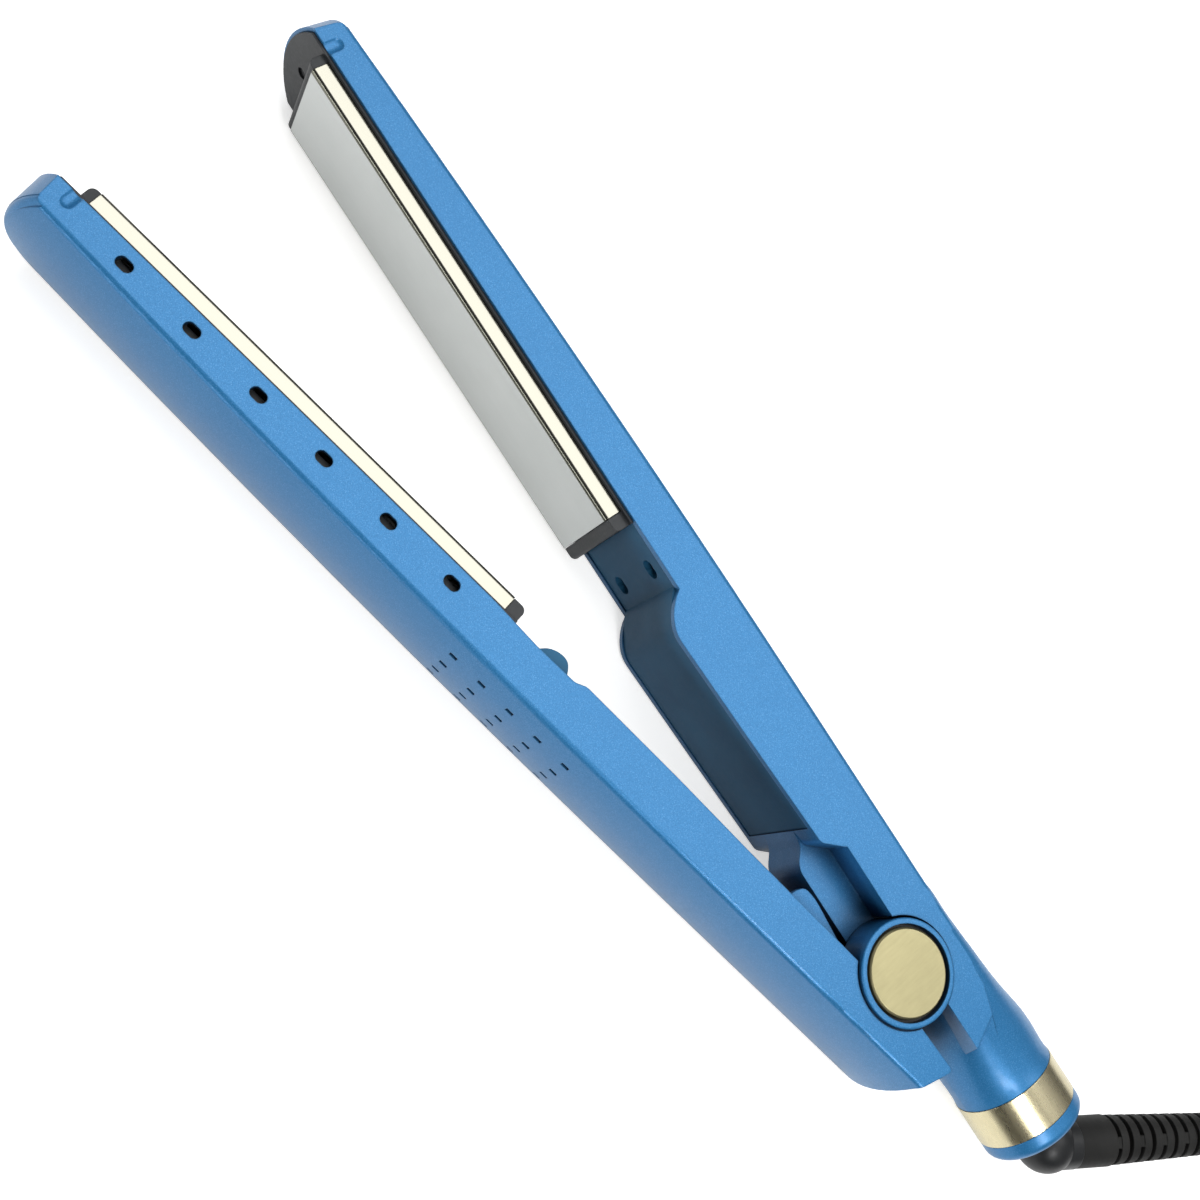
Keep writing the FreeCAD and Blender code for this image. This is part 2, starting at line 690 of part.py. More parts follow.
def hinge_pin():
    shaft = rod_w(PIN_R, -15.4, COUNTERBORE_W)
    head = rod_w(7.5, COUNTERBORE_W + 0.02, COUNTERBORE_W + 1.6)
    groove = ring_w(PIN_R + 1, 3.2, -15.1, -14.3)
    return fused(shaft, rod_w(PIN_R, 0, COUNTERBORE_W + 1), head).cut(groove)


def pin_clip():
    clip = ring_w(7.0, 3.25, -15.05, -14.35)
    return clip.cut(block(-1.6, 1.6, 0, 12, -20, 0))


def hinge_bush():
    return ring_w(BUSH_R, PIN_R + RUN_FIT, -TONGUE_HALF, TONGUE_HALF)


def thrust_washers():
    low = TONGUE_HALF + 0.02
    high = TONGUE_HALF + CHEEK_GAP - 0.04
    return mirrored_pair(ring_w(10.6, PIN_R + 0.2, low, high))


def return_spring():
    """Torsion spring wound round the bush, inside the knuckle."""
    pitch = 1.5
    turns = 2.8
    helix = Part.makeHelix(pitch, pitch * turns, SPRING_R)
    helix.translate(vec(0, 0, 2.85))
    start = helix.Edges[0].valueAt(helix.Edges[0].FirstParameter)
    section = Part.Wire(Part.makeCircle(SPRING_WIRE_R, start, vec(0, 1, 0.06)))
    return Part.Wire(helix.Edges).makePipeShell([section], True, True)


def hinge_disc(sign):
    """Thin champagne disc with a bevelled edge, level with the ring round it."""
    face_w = HALF + RING_PROUD
    disc = rod_w(DISC_R, HALF - 1.3, face_w)
    rim = [e for e in disc.Edges if e.Closed and abs(e.CenterOfMass.z - face_w) < 0.01]
    disc = disc.makeChamfer(0.45, rim)
    return disc if sign > 0 else disc.mirror(vec(0, 0, 0), vec(0, 0, 1))


def disc_seat(sign):
    """Black cup that the disc snaps into."""
    rim = ring_w(RING_INNER_R - SNUG, DISC_R + SNUG, HALF - 1.9, HALF - 0.7)
    floor = ring_w(RING_INNER_R - SNUG, 8.2, HALF - 1.9, HALF - 1.35)
    seat = fused(rim, floor)
    return seat if sign > 0 else seat.mirror(vec(0, 0, 0), vec(0, 0, 1))


# ---------------------------------------------------------------- barrel and cord

def gold_band():
    return ring_u(BARREL_R + 0.12, BARREL_R - 0.82, BAND_U1 + 0.1, BAND_U0 - 0.1, BARREL_V)


def end_cap():
    """Cap that closes the barrel, rounded over at its rim."""
    outer = rod_u(BARREL_R + 0.05, CAP_U1, BAND_U1 - SNUG, BARREL_V)
    rim = [e for e in outer.Edges if abs(e.CenterOfMass.x - CAP_U1) < 0.01 and e.Closed]
    outer = outer.makeFillet(2.4, rim)
    spigot = rod_u(BARREL_BORE_R - SNUG, BAND_U1 - 1, BAND_U1 + 4, BARREL_V)
    hollow = rod_u(CAP_OPEN_R, CAP_U1 - 1, BAND_U1 + 5, BARREL_V)
    return fused(outer, spigot).cut(hollow)


def swivel_bush():
    """Plain bearing inside the barrel that carries the elbow."""
    return ring_u(BARREL_BORE_R - SNUG, 6.0 + RUN_FIT, -50.8, -47.2, BARREL_V)


def swivel_elbow():
    """Turning elbow: shaft in the bush, domed nose outside and a stub towards the cord."""
    r = 7.7
    ball_u = ELBOW_U + 0.6
    nose_u = -59.6
    lean = math.radians(30)
    join = (ball_u + r * math.sin(lean), r * math.cos(lean))
    middle = (ball_u - r * math.sin(math.radians(20)), r * math.cos(math.radians(20)))

    def at(place):
        return vec(place[0], BARREL_V + place[1], 0)

    steps = [(-34.0, 0), (-34.0, 4.0), (-46.9, 4.0), (-46.9, 6.0), (-52.2, 6.0), (-52.2, 9.4)]
    steps += [(nose_u, 9.4), join]
    edges = [Part.makeLine(at(a), at(b)) for a, b in zip(steps, steps[1:])]
    end = (ball_u - r, 0)
    edges.append(Part.Arc(at(join), at(middle), at(end)).toShape())
    edges.append(Part.makeLine(at(end), at(steps[0])))
    turned = Part.Face(Part.Wire(edges)).revolve(vec(0, BARREL_V, 0), vec(1, 0, 0), 360)
    stub = Part.makeCylinder(BOOT_R + 0.1, BOOT_START, vec(ELBOW_U, BARREL_V, 0), cord_direction())
    bore = Part.makeCylinder(CORD_NECK_R + SNUG, 30, vec(ELBOW_U, BARREL_V, 0), cord_direction())
    return turned.fuse(stub).cut([bore, rod_u(2.4, ELBOW_U - 1, -30, BARREL_V)])


def retainer():
    """Snap ring that keeps the elbow in its bush."""
    return ring_u(5.8, 4.0 + SNUG, -46.6, -45.8, BARREL_V)


def slip_rings():
    rings = [ring_u(5.2, 4.0 + SNUG, u, u + 2.2, BARREL_V) for u in (-43.6, -39.4)]
    return Part.makeCompound(rings)


def brush_contacts():
    """Sprung contacts that ride on the slip rings."""
    brushes = []
    for u in (-43.2, -39.0):
        brushes.append(block(u, u + 1.4, BARREL_V + 5.25, BARREL_V + 8.0, -1.0, 1.0))
    return Part.makeCompound(brushes)


def brush_holder():
    """Insulating ring fixed in the barrel round the brushes."""
    holder = ring_u(BARREL_BORE_R - SNUG, 5.6, -44.4, -35.8, BARREL_V)
    pockets = [block(u - 0.05, u + 1.45, BARREL_V, BARREL_V + 8.05, -1.05, 1.05) for u in (-43.2, -39.0)]
    return holder.cut(pockets)


def cord_direction():
    a = math.radians(CORD_ANGLE)
    return vec(-math.cos(a), -math.sin(a), 0)


def along_cord(distance):
    return vec(ELBOW_U, BARREL_V, 0) + cord_direction() * distance


def boot_radius(distance):
    """The boot slims towards the cord."""
    past = max(distance - BOOT_SMOOTH, 0) / (BOOT_LENGTH - BOOT_SMOOTH)
    return BOOT_R - 1.5 * past


def cord_boot():
    """Strain relief: smooth collar, then ribs joined by bars on alternate sides."""
    start = BOOT_START + SNUG
    ribs_from = start + BOOT_SMOOTH
    axis = cord_direction()
    pieces = [Part.makeCylinder(BOOT_R, BOOT_SMOOTH, along_cord(start), axis)]
    pieces.append(Part.makeCylinder(CORD_NECK_R + 1.0, BOOT_LENGTH - start, along_cord(start), axis))
    turn = FreeCAD.Placement(vec(0, 0, 0), FreeCAD.Rotation(vec(0, 0, 1), 180 + CORD_ANGLE))
    count = int((BOOT_LENGTH - ribs_from) / RIB_PITCH)
    for i in range(count):
        at = ribs_from + RIB_GAP + i * RIB_PITCH
        radius = boot_radius(at)
        pieces.append(Part.makeCylinder(radius, RIB_PITCH - RIB_GAP, along_cord(at), axis))
        span = 2 * radius - 0.6
        wide, tall = (span, RIB_BAR) if i % 2 else (RIB_BAR, span)
        bar = Part.makeBox(RIB_GAP + 0.2, wide, tall, vec(-0.1, -wide / 2, -tall / 2))
        bar.Placement = turn
        bar.translate(along_cord(at - RIB_GAP))
        pieces.append(bar)
    boot = fused(*pieces)
    bore = Part.makeCylinder(CORD_NECK_R + SNUG, 200, along_cord(0), axis)
    return boot.cut(bore)


def mains_cord():
    """Short length of cord, squeezed where the boot grips it."""
    axis = cord_direction()
    neck = Part.makeCylinder(CORD_NECK_R, CORD_NECK - 3.0, along_cord(4.0), axis)
    return neck.fuse(Part.makeCylinder(CORD_R, CORD_END - CORD_NECK, along_cord(CORD_NECK), axis))


def cord_cores():
    """Two insulated cores bared at the cut end of the cord."""
    end = CORD_END + SNUG
    axis = cord_direction()
    across = axis.cross(vec(0, 0, 1))
    cores = []
    for sign in (-1, 1):
        base = along_cord(end) + across * (sign * 1.5)
        cores.append(Part.makeCylinder(CORE_R, 7, base, axis))
    return Part.makeCompound(cores)


# ---------------------------------------------------------------- controls and wiring

def control_board():
    return block(56, 98, -7.6, -6.0, -12, 12)


def board_parts():
    """Capacitor, triac, controller and terminal block standing on the board."""
    top = -6.0 + 0.02
    low = -7.6 - 0.02
    capacitor = Part.makeCylinder(3.5, 4.2, vec(64, low - 4.2, -6), vec(0, 1, 0))
    triac = block(74, 84, low - 2.4, low, -5, 5)
    chip = block(68, 78, top, top + 1.4, 2, 8)
    terminal = block(89, 96, top, top + 3.0, -9, 9)
    choke = Part.makeCylinder(3.2, 3.6, vec(91, low - 3.6, 6), vec(0, 1, 0))
    return Part.makeCompound([capacitor, triac, chip, terminal, choke])


def wire(points, radius):
    """Round wire along a smooth path through u-v-w points."""
    spline = Part.BSplineCurve()
    spline.interpolate([vec(*p) for p in points])
    path = Part.Wire(spline.toShape())
    tangent = spline.tangent(spline.FirstParameter)[0]
    section = Part.Wire(Part.makeCircle(radius, vec(*points[0]), tangent))
    return path.makePipeShell([section], True, True)


def main_wires():
    """Leads from the swivel contacts under the hinge to the board."""
    wires = []
    for w in (-1.4, 1.4):
        route = [(-27, -14.6, w), (0, WIRE_DUCT_V, w), (30, WIRE_DUCT_V, w)]
        route += [(44, -13.6, w), (54.5, -9.4, 2.5 * w)]
        wires.append(wire(route, 0.8))
    return Part.makeCompound(wires)


def lever_wires():
    """Leads through the lever's hinge channel to its heater."""
    wires = []
    for w in (-0.9, 0.9):
        route = [(8, LEVER_DUCT_V, w), (22, LEVER_DUCT_V, w), (36, -13.3, w)]
        route += [(52, -15.0, w), (68, -15.3, w), (96, -14.8, w + 4.5), (117, -11.5, w + 5.5)]
        wires.append(wire(route, 0.75))
    return Part.makeCompound(wires)


def rocker_bezel():
    """Switch body set in the lever's cover."""
    v = LEVER_INNER_V
    body = block(ROCKER_U - 8, ROCKER_U + 8, v - 7.2, v + 0.35, -5.5, 5.5)
    hollow = block(ROCKER_U - 6.9, ROCKER_U + 6.9, v - 5.2, 2, -4.3, 4.3)
    pivot = rod_w(0.85, -6, 6, ROCKER_U, ROCKER_PIVOT_V)
    return body.cut([hollow, pivot])


def rocker():
    """Two-position rocker on a cross pin, one end down."""
    v = LEVER_INNER_V
    outline = [(-6.0, v - 1.2), (0, v + 0.25), (6.0, v + 1.3), (6.0, v - 0.6)]
    outline += [(2.2, v - 3.6), (-2.2, v - 3.6), (-6.0, v - 2.8)]
    shape = prism(outline, -4.1, 4.1)
    shape.translate(vec(ROCKER_U, 0, 0))
    return fused(shape, rod_w(0.8, -5.0, 5.0, ROCKER_U, ROCKER_PIVOT_V))


def dial():
    """Temperature dial with a fluted rim and a pointer groove."""
    v = LEVER_INNER_V
    body = rod_v(DIAL_R, v - 2.2, v + 1.3, DIAL_U)
    cuts = []
    for i in range(24):
        a = 2 * math.pi * i / 24
        reach = DIAL_R + 0.1
        cuts.append(rod_v(0.45, v - 0.4, v + 3, DIAL_U + reach * math.cos(a), reach * math.sin(a)))
    cuts.append(block(DIAL_U + 2.2, DIAL_U + 7, v + 0.9, v + 3, -0.4, 0.4))
    return fused(body, rod_v(2.0, v - 5.2, v, DIAL_U)).cut(cuts)


def dial_switch():
    """Potentiometer under the dial."""
    v = LEVER_INNER_V
    case = block(DIAL_U - 7, DIAL_U + 7, v - 7.6, v - 2.6, -7, 7)
    return case.cut(rod_v(2.0 + RUN_FIT, v - 5.6, v, DIAL_U))


def lens():
    v = LEVER_INNER_V
    stem = rod_v(LENS_R, v - 2.0, v + 0.1, LENS_U, LENS_W)
    foot = rod_v(LENS_R + 0.7, v - 2.4, v - COVER_T - 0.05, LENS_U, LENS_W)
    return fused(stem, foot)


def cover_screw(u, w, seat_v):
    """Small pan-head screw with a cross recess, head on seat_v."""
    head = rod_v(1.75, seat_v, seat_v + 1.1, u, w)
    shank = rod_v(1.08, seat_v - 6.0, seat_v + 0.1, u, w)
    cross = [block(u - 1.2, u + 1.2, seat_v + 0.5, seat_v + 2, w - 0.25, w + 0.25),
             block(u - 0.25, u + 0.25, seat_v + 0.5, seat_v + 2, w - 1.2, w + 1.2)]
    return fused(head, shank).cut(cross)


def main_screws():
    seats = [(WELL_U, -WELL_W, WELL_FLOOR_V + 0.02), (WELL_U, WELL_W, WELL_FLOOR_V + 0.02)]
    return Part.makeCompound([cover_screw(*s) for s in seats])


def lever_screws():
    seats = [(u, w, LEVER_SCREW_SEAT + 0.02) for u, w in LEVER_SCREWS]
    return Part.makeCompound([cover_screw(*s) for s in seats])


# ---------------------------------------------------------------- assembly

def on_main(shape):
    shape = shape.copy()
    shape.translate(vec(0, 0, REST_Z))
    return shape


def on_lever(shape):
    shape = shape.mirror(vec(0, 0, 0), vec(0, 1, 0))
    shape.rotate(vec(0, 0, 0), vec(0, 0, 1), OPEN_ANGLE)
    shape.translate(vec(0, 0, REST_Z))
    return shape


def both_arms(name, build):
    shape = build()
    return {"main_" + name: on_main(shape), "lever_" + name: on_lever(shape)}


def pieces():
    made = {}
    for name, build in {
        "heating_plate": heating_plate,
        "plate_carrier": plate_carrier,
        "ceramic_heater": heater,
        "heater_clamp": heater_clamp,
        "float_pads": float_pads,
        "heater_leads": heater_leads,
    }.items():
        made.update(both_arms(name, build))
    for name, build in {
        "main_arm_housing": main_housing,
        "main_arm_cover": main_cover,
        "main_cover_screws": main_screws,
        "main_arm_wires": main_wires,
        "control_board": control_board,
        "board_components": board_parts,
        "hinge_bush": hinge_bush,
        "hinge_washers": thrust_washers,
        "return_spring": return_spring,
        "barrel_band": gold_band,
        "barrel_end_cap": end_cap,
        "swivel_bush": swivel_bush,
        "swivel_elbow": swivel_elbow,
        "elbow_retainer": retainer,
        "slip_rings": slip_rings,
        "brush_contacts": brush_contacts,
        "brush_holder": brush_holder,
        "cord_boot": cord_boot,
        "mains_cord": mains_cord,
        "cord_cores": cord_cores,
    }.items():
        made[name] = on_main(build())
    for name, build in {
        "lever_arm_housing": lever_housing,
        "lever_arm_cover": lever_cover,
        "lever_cover_screws": lever_screws,
        "lever_arm_wires": lever_wires,
        "thermal_fuse": thermal_fuse,
        "temperature_sensor": temperature_sensor,
        "hinge_pin": hinge_pin,
        "hinge_pin_clip": pin_clip,
        "power_rocker": rocker,
        "rocker_bezel": rocker_bezel,
        "temperature_dial": dial,
        "dial_potentiometer": dial_switch,
        "indicator_lens": lens,
    }.items():
        made[name] = on_lever(build())
    for name, sign in (("upper", 1), ("lower", -1)):
        made[name + "_hinge_disc"] = on_lever(hinge_disc(sign))
        made[name + "_disc_seat"] = on_lever(disc_seat(sign))
    return made


os.makedirs("parts", exist_ok=True)
for node, shape in pieces().items():
    for solid in shape.Solids:
        if not solid.isValid() or solid.Volume <= 0:
            print("check", node, solid.isValid(), round(solid.Volume, 3))
    print(node, len(shape.Solids), [round(s.Volume, 1) for s in shape.Solids][:4])
    shape.exportStep("parts/" + node + ".step")
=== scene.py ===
import json
import math

import bpy
from mathutils import Matrix, Vector

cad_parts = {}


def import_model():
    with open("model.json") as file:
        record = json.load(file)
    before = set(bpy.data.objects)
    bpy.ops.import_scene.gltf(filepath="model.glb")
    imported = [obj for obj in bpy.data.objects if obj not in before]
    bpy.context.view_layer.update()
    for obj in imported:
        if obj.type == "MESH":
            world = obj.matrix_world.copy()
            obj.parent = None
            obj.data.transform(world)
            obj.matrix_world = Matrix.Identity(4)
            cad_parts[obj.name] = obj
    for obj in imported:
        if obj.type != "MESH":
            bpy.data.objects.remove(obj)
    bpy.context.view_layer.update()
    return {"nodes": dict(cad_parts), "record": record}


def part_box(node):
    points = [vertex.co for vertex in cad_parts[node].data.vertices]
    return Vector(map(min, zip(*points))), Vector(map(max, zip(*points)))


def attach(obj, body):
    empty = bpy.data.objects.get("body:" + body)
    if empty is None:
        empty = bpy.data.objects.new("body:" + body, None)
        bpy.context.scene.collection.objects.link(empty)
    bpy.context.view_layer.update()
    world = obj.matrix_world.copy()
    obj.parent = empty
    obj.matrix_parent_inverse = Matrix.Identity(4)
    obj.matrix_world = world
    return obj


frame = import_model()

# Metres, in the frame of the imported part: hinge axis at x = y = 0, +X along the main arm.
MM = 0.001
HINGE_Z = sum(corner.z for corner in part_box("hinge_bush")) / 2
PLATE_LOW, PLATE_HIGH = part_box("main_heating_plate")
PLATE_HALF = (PLATE_HIGH.z - PLATE_LOW.z) / 2

# Plate edges, as distances in from the plate's side: where the dark corner and the skirt fade in
CORNER_FADE = (1.35 * MM, 1.10 * MM)
SKIRT_FADE = (0.10 * MM, 0.04 * MM)
OPEN_ANGLE = 13.3       # degrees between the arms at rest

# Cord: which way it leaves, and its cut end
CORD_ANGLE = math.radians(54.0)
CORD_AXIS = Vector((-math.cos(CORD_ANGLE), -math.sin(CORD_ANGLE), 0))
CORE_LENGTH = 7.0 * MM
CORE_SPACING = 1.5 * MM
STRAND_LENGTH = 4.5 * MM
STRAND_RADIUS = 0.24 * MM
STRAND_RING = 0.52 * MM     # outer strands lie this far from the middle one
STRAND_TWIST = 1.6          # radians over the bared length
STRAND_SPLAY = 0.35         # the bundle widens by this share
STRAND_ROOT = 0.4 * MM      # how far the strands start inside the insulation
STRAND_STEPS = 8
OUTER_STRANDS = 6

# Camera: where it looks, from which side, how far off and how it is rolled.
AIM = Vector((0.1154, 0.0059, HINGE_Z))
VIEW_AZIMUTH = 175.52
VIEW_ELEVATION = 64.77
VIEW_DISTANCE = 0.3607
UP_HINT_ANGLE = -36.13
LENS = 43.72

# Area lights: name, place, the point it faces, its two sides and its power
LIGHTS = (
    ("overhead", (0.20, -0.28, 0.75), (0.12, 0.0, 0.0), (1.1, 0.6), 4.9),
    ("streak", (-0.33, 0.24, 0.58), (-0.03, -0.015, 0.02), (0.12, 0.30), 2.0),
    ("side_strip", (0.30, 0.95, 0.22), (0.12, 0.0, 0.0), (0.9, 0.18), 2.8),
)

# Surround: grey by height above the horizon, its strength and how it dims
SKY_STOPS = ((0.15, 0.12), (0.35, 0.45), (0.60, 0.75))
SKY_TINT = 1.03         # a little bluer than grey
WORLD_STRENGTH = 0.5
BACKDROP = (0.86, 0.87, 0.88, 1)
DIM_SIDE = 0.3          # share of the surround left on the +Y side
DIM_REACH = 0.45        # how far round towards +Y it has dimmed to that share

# Floor
FLOOR_HALF = 1.6
FLOOR_LIFT = 0.60       # glow of the floor that only the camera sees
FLOOR_SHEEN = 0.35      # glow of the floor in reflections
FLOOR_BOUNCE = 0.3      # grey of the floor as it lights the object


# ------------------------------------------------------------------ material kit

class Surface:
    """A procedural material on a principled shader.  bevel is the radius of its softened edges."""

    def __init__(self, name, bevel=0.0, **values):
        self.material = bpy.data.materials.new(name)
        self.material.use_nodes = True
        self.tree = self.material.node_tree
        self.shader = self.tree.nodes["Principled BSDF"]
        self.place = self.add("ShaderNodeTexCoord").outputs["Object"]
        self.bump_chain = None
        for key, value in values.items():
            self.shader.inputs[key.replace("_", " ")].default_value = value
        if bevel:
            node = self.add("ShaderNodeBevel", samples=4)
            node.inputs["Radius"].default_value = bevel
            self.bump_chain = node.outputs["Normal"]
            self.link(self.bump_chain, self.shader.inputs["Normal"])

    def add(self, kind, **settings):
        node = self.tree.nodes.new(kind)
        for key, value in settings.items():
            setattr(node, key, value)
        return node

    def link(self, source, target):
        self.tree.links.new(source, target)

    def scaled(self, scale, turn=0.0):
        """Object place, turned about Z by turn degrees, then stretched by scale."""
        place = self.place
        if turn:
            rotate = self.add("ShaderNodeVectorRotate", rotation_type="Z_AXIS")
            rotate.inputs["Angle"].default_value = math.radians(-turn)
            self.link(place, rotate.inputs["Vector"])
            place = rotate.outputs["Vector"]
        stretch = self.add("ShaderNodeVectorMath", operation="MULTIPLY")
        stretch.inputs[1].default_value = scale
        self.link(place, stretch.inputs[0])
        return stretch.outputs["Vector"]

    def noise(self, scale, detail=3.0, roughness=0.55, stretch=(1, 1, 1), turn=0.0):
        node = self.add("ShaderNodeTexNoise")
        node.inputs["Scale"].default_value = scale
        node.inputs["Detail"].default_value = detail
        node.inputs["Roughness"].default_value = roughness
        self.link(self.scaled(stretch, turn), node.inputs["Vector"])
        return node.outputs["Fac"]

    def cells(self, scale):
        """A random colour for each small cell."""
        node = self.add("ShaderNodeTexVoronoi")
        node.inputs["Scale"].default_value = scale
        self.link(self.place, node.inputs["Vector"])
        return node.outputs["Color"]

    def ramp(self, source, stops):
        """Colour ramp over source; stops are (place, colour)."""
        node = self.add("ShaderNodeValToRGB")
        elements = node.color_ramp.elements
        while len(elements) < len(stops):
            elements.new(0.5)
        for element, (place, colour) in zip(elements, stops):
            element.position = place
            element.color = (*colour, 1.0) if len(colour) == 3 else colour
        self.link(source, node.inputs["Fac"])
        return node.outputs["Color"]

    def remap(self, source, low, high, from_low=0.0, from_high=1.0):
        node = self.add("ShaderNodeMapRange")
        node.inputs["From Min"].default_value = from_low
        node.inputs["From Max"].default_value = from_high
        node.inputs["To Min"].default_value = low
        node.inputs["To Max"].default_value = high
        self.link(source, node.inputs["Value"])
        return node.outputs["Result"]

    def mix(self, factor, a, b, blend="MIX"):
        node = self.add("ShaderNodeMix", data_type="RGBA", blend_type=blend)
        slots = {"Factor": node.inputs[0], "A": node.inputs[6], "B": node.inputs[7]}
        for key, value in (("Factor", factor), ("A", a), ("B", b)):
            if isinstance(value, (int, float)):
                slots[key].default_value = value
            elif isinstance(value, tuple):
                slots[key].default_value = (*value, 1.0)
            else:
                self.link(value, slots[key])
        return node.outputs[2]

    def painted_shade_openness(self, reach):
        """Near 0 deep in a recess, 1 on open faces: the factor that paints shade into recesses."""
        node = self.add("ShaderNodeAmbientOcclusion", samples=6)
        node.inputs["Distance"].default_value = reach
        return self.remap(node.outputs["AO"], 0.0, 1.0, 0.25, 0.85)

    def set(self, name, source):
        self.link(source, self.shader.inputs[name])

    def bump(self, height, strength, distance):
        node = self.add("ShaderNodeBump")
        node.inputs["Strength"].default_value = strength
        node.inputs["Distance"].default_value = distance
        self.link(height, node.inputs["Height"])
        if self.bump_chain is not None:
            self.link(self.bump_chain, node.inputs["Normal"])
        self.bump_chain = node.outputs["Normal"]
        self.link(self.bump_chain, self.shader.inputs["Normal"])


# ------------------------------------------------------------------ materials

def blue_paint():
    """Satin metallic blue: fine flake, faint mottling and a thin clear coat, with painted shade that darkens
    the colour and thins the coat in recesses.
    """
    s = Surface("satin_blue_paint", 0.5 * MM, Metallic=0.35, Roughness=0.4,
                Coat_Weight=0.25, Coat_Roughness=0.2)
    s.shader.inputs["Specular IOR Level"].default_value = 0.35
    flake = s.cells(6500.0)
    split = s.add("ShaderNodeSeparateColor")
    s.link(flake, split.inputs["Color"])
    tone = s.ramp(split.outputs["Red"], [
        (0.0, (0.018, 0.160, 0.37)), (0.5, (0.024, 0.190, 0.43)),
        (0.85, (0.032, 0.210, 0.47)), (1.0, (0.070, 0.27, 0.54))])
    broad = s.noise(38.0, 4.0)
    tone = s.mix(s.remap(broad, 0.0, 0.3, 0.35, 0.75), tone, (0.020, 0.160, 0.38))
    # Painted shade: deep in recesses and crevices the colour darkens to near-black blue and the coat thins.
    painted_shade_fac = s.painted_shade_openness(12 * MM)
    s.set("Base Color", s.mix(painted_shade_fac, (0.004, 0.018, 0.045), tone))
    s.set("Coat Weight", s.remap(painted_shade_fac, 0.02, 0.25))
    s.set("Roughness", s.remap(s.noise(900.0, 2.0), 0.36, 0.46))
    s.bump(split.outputs["Green"], 0.07, 0.00003)
    s.bump(s.noise(1500.0, 3.0), 0.08, 0.00005)
    return s.material


def cover_blue_with_painted_shade():
    """Moulded blue of the two inner covers: the same hue and duller than the painted shell, and darker as
    painted shade for the inner faces between the arms.
    """
    s = Surface("moulded_blue_painted_shade", 0.3 * MM, Metallic=0.1, Roughness=0.5)
    s.shader.inputs["Specular IOR Level"].default_value = 0.25
    grain = s.noise(1300.0, 3.0)
    broad = s.noise(45.0, 3.0)
    # Painted shade: the cover's blue is set darker than the shell's to stand for the shade on the inner
    # faces.
    tone = s.mix(s.remap(broad, 0.0, 1.0, 0.35, 0.7), (0.018, 0.110, 0.215), (0.028, 0.145, 0.270))
    s.set("Base Color", tone)
    s.set("Roughness", s.remap(grain, 0.44, 0.58))
    s.bump(grain, 0.2, 0.00004)
    return s.material


def plate_metal(name, turn):
    """Satin titanium coating, finely lapped along the plate, with dark corners and warm polished skirts."""
    s = Surface(name, 0.15 * MM, Metallic=1.0, Roughness=0.3)
    lap = s.noise(900.0, 4.0, 0.6, (0.03, 1.0, 1.0), turn)
    cloud = s.noise(55.0, 4.0, 0.6)
    base = s.mix(s.remap(cloud, 0.0, 0.5, 0.3, 0.75), (0.54, 0.56, 0.55), (0.48, 0.505, 0.495))
    split = s.add("ShaderNodeSeparateXYZ")
    s.link(s.place, split.inputs["Vector"])
    height = s.add("ShaderNodeMath", operation="SUBTRACT")
    s.link(split.outputs["Z"], height.inputs[0])
    height.inputs[1].default_value = HINGE_Z
    away = s.add("ShaderNodeMath", operation="ABSOLUTE")
    s.link(height.outputs[0], away.inputs[0])
    corner, skirt = (s.remap(away.outputs[0], 0.0, 1.0, PLATE_HALF - begin, PLATE_HALF - end)
                     for begin, end in (CORNER_FADE, SKIRT_FADE))
    tone = s.mix(corner, base, (0.17, 0.17, 0.14))
    s.set("Base Color", s.mix(skirt, tone, (0.37, 0.36, 0.305)))
    rough = s.mix(corner, s.remap(lap, 0.27, 0.42), (0.2, 0.2, 0.2))
    s.set("Roughness", rough)
    s.bump(lap, 0.05, 0.00005)
    s.bump(s.noise(3000.0, 2.0), 0.05, 0.00003)
    return s.material


def champagne(name, colour, roughness, stretch):
    """Champagne anodised metal with a fine directional grain."""
    s = Surface(name, 0.2 * MM, Metallic=1.0)
    grain = s.noise(1400.0, 3.0, 0.6, stretch)
    cloud = s.noise(130.0, 3.0)
    tone = s.mix(s.remap(cloud, 0.0, 0.6, 0.3, 0.7), colour, tuple(0.87 * c for c in colour))
    tone = s.mix(s.remap(grain, 0.0, 0.35), tone, tuple(0.68 * c for c in colour))
    s.set("Base Color", tone)
    s.set("Roughness", s.remap(grain, roughness * 0.8, roughness * 1.25))
    s.bump(grain, 0.05, 0.00002)
    return s.material


def textured_plastic(name, colour, lighter, roughness, grain_scale, depth, shine):
    """Moulded plastic with a spark-eroded grain."""
    s = Surface(name, 0.3 * MM)
    s.shader.inputs["Specular IOR Level"].default_value = shine
    grain = s.noise(grain_scale, 3.0, 0.6)
    broad = s.noise(60.0, 3.0)
    s.set("Base Color", s.mix(s.remap(broad, 0.0, 1.0, 0.35, 0.7), colour, lighter))
    s.set("Roughness", s.remap(grain, roughness - 0.08, roughness + 0.1))
    s.bump(grain, 0.35, depth)
    return s.material


def plain_metal(name, colour, darker, roughness):
    """Drawn or stamped metal with light mottling."""
    s = Surface(name, 0.15 * MM, Metallic=1.0)
    grain = s.noise(700.0, 3.0, 0.6)
    s.set("Base Color", s.mix(s.remap(grain, 0.0, 0.6), colour, darker))
    s.set("Roughness", s.remap(grain, roughness - 0.06, roughness + 0.1))
    s.bump(grain, 0.08, 0.00005)
    return s.material


def ceramic():
    s = Surface("alumina", Roughness=0.7)
    speck = s.noise(1600.0, 2.0)
    s.set("Base Color", s.mix(s.remap(speck, 0.0, 0.8, 0.4, 0.7), (0.82, 0.80, 0.74), (0.70, 0.68, 0.62)))
    s.bump(speck, 0.2, 0.00005)
    return s.material


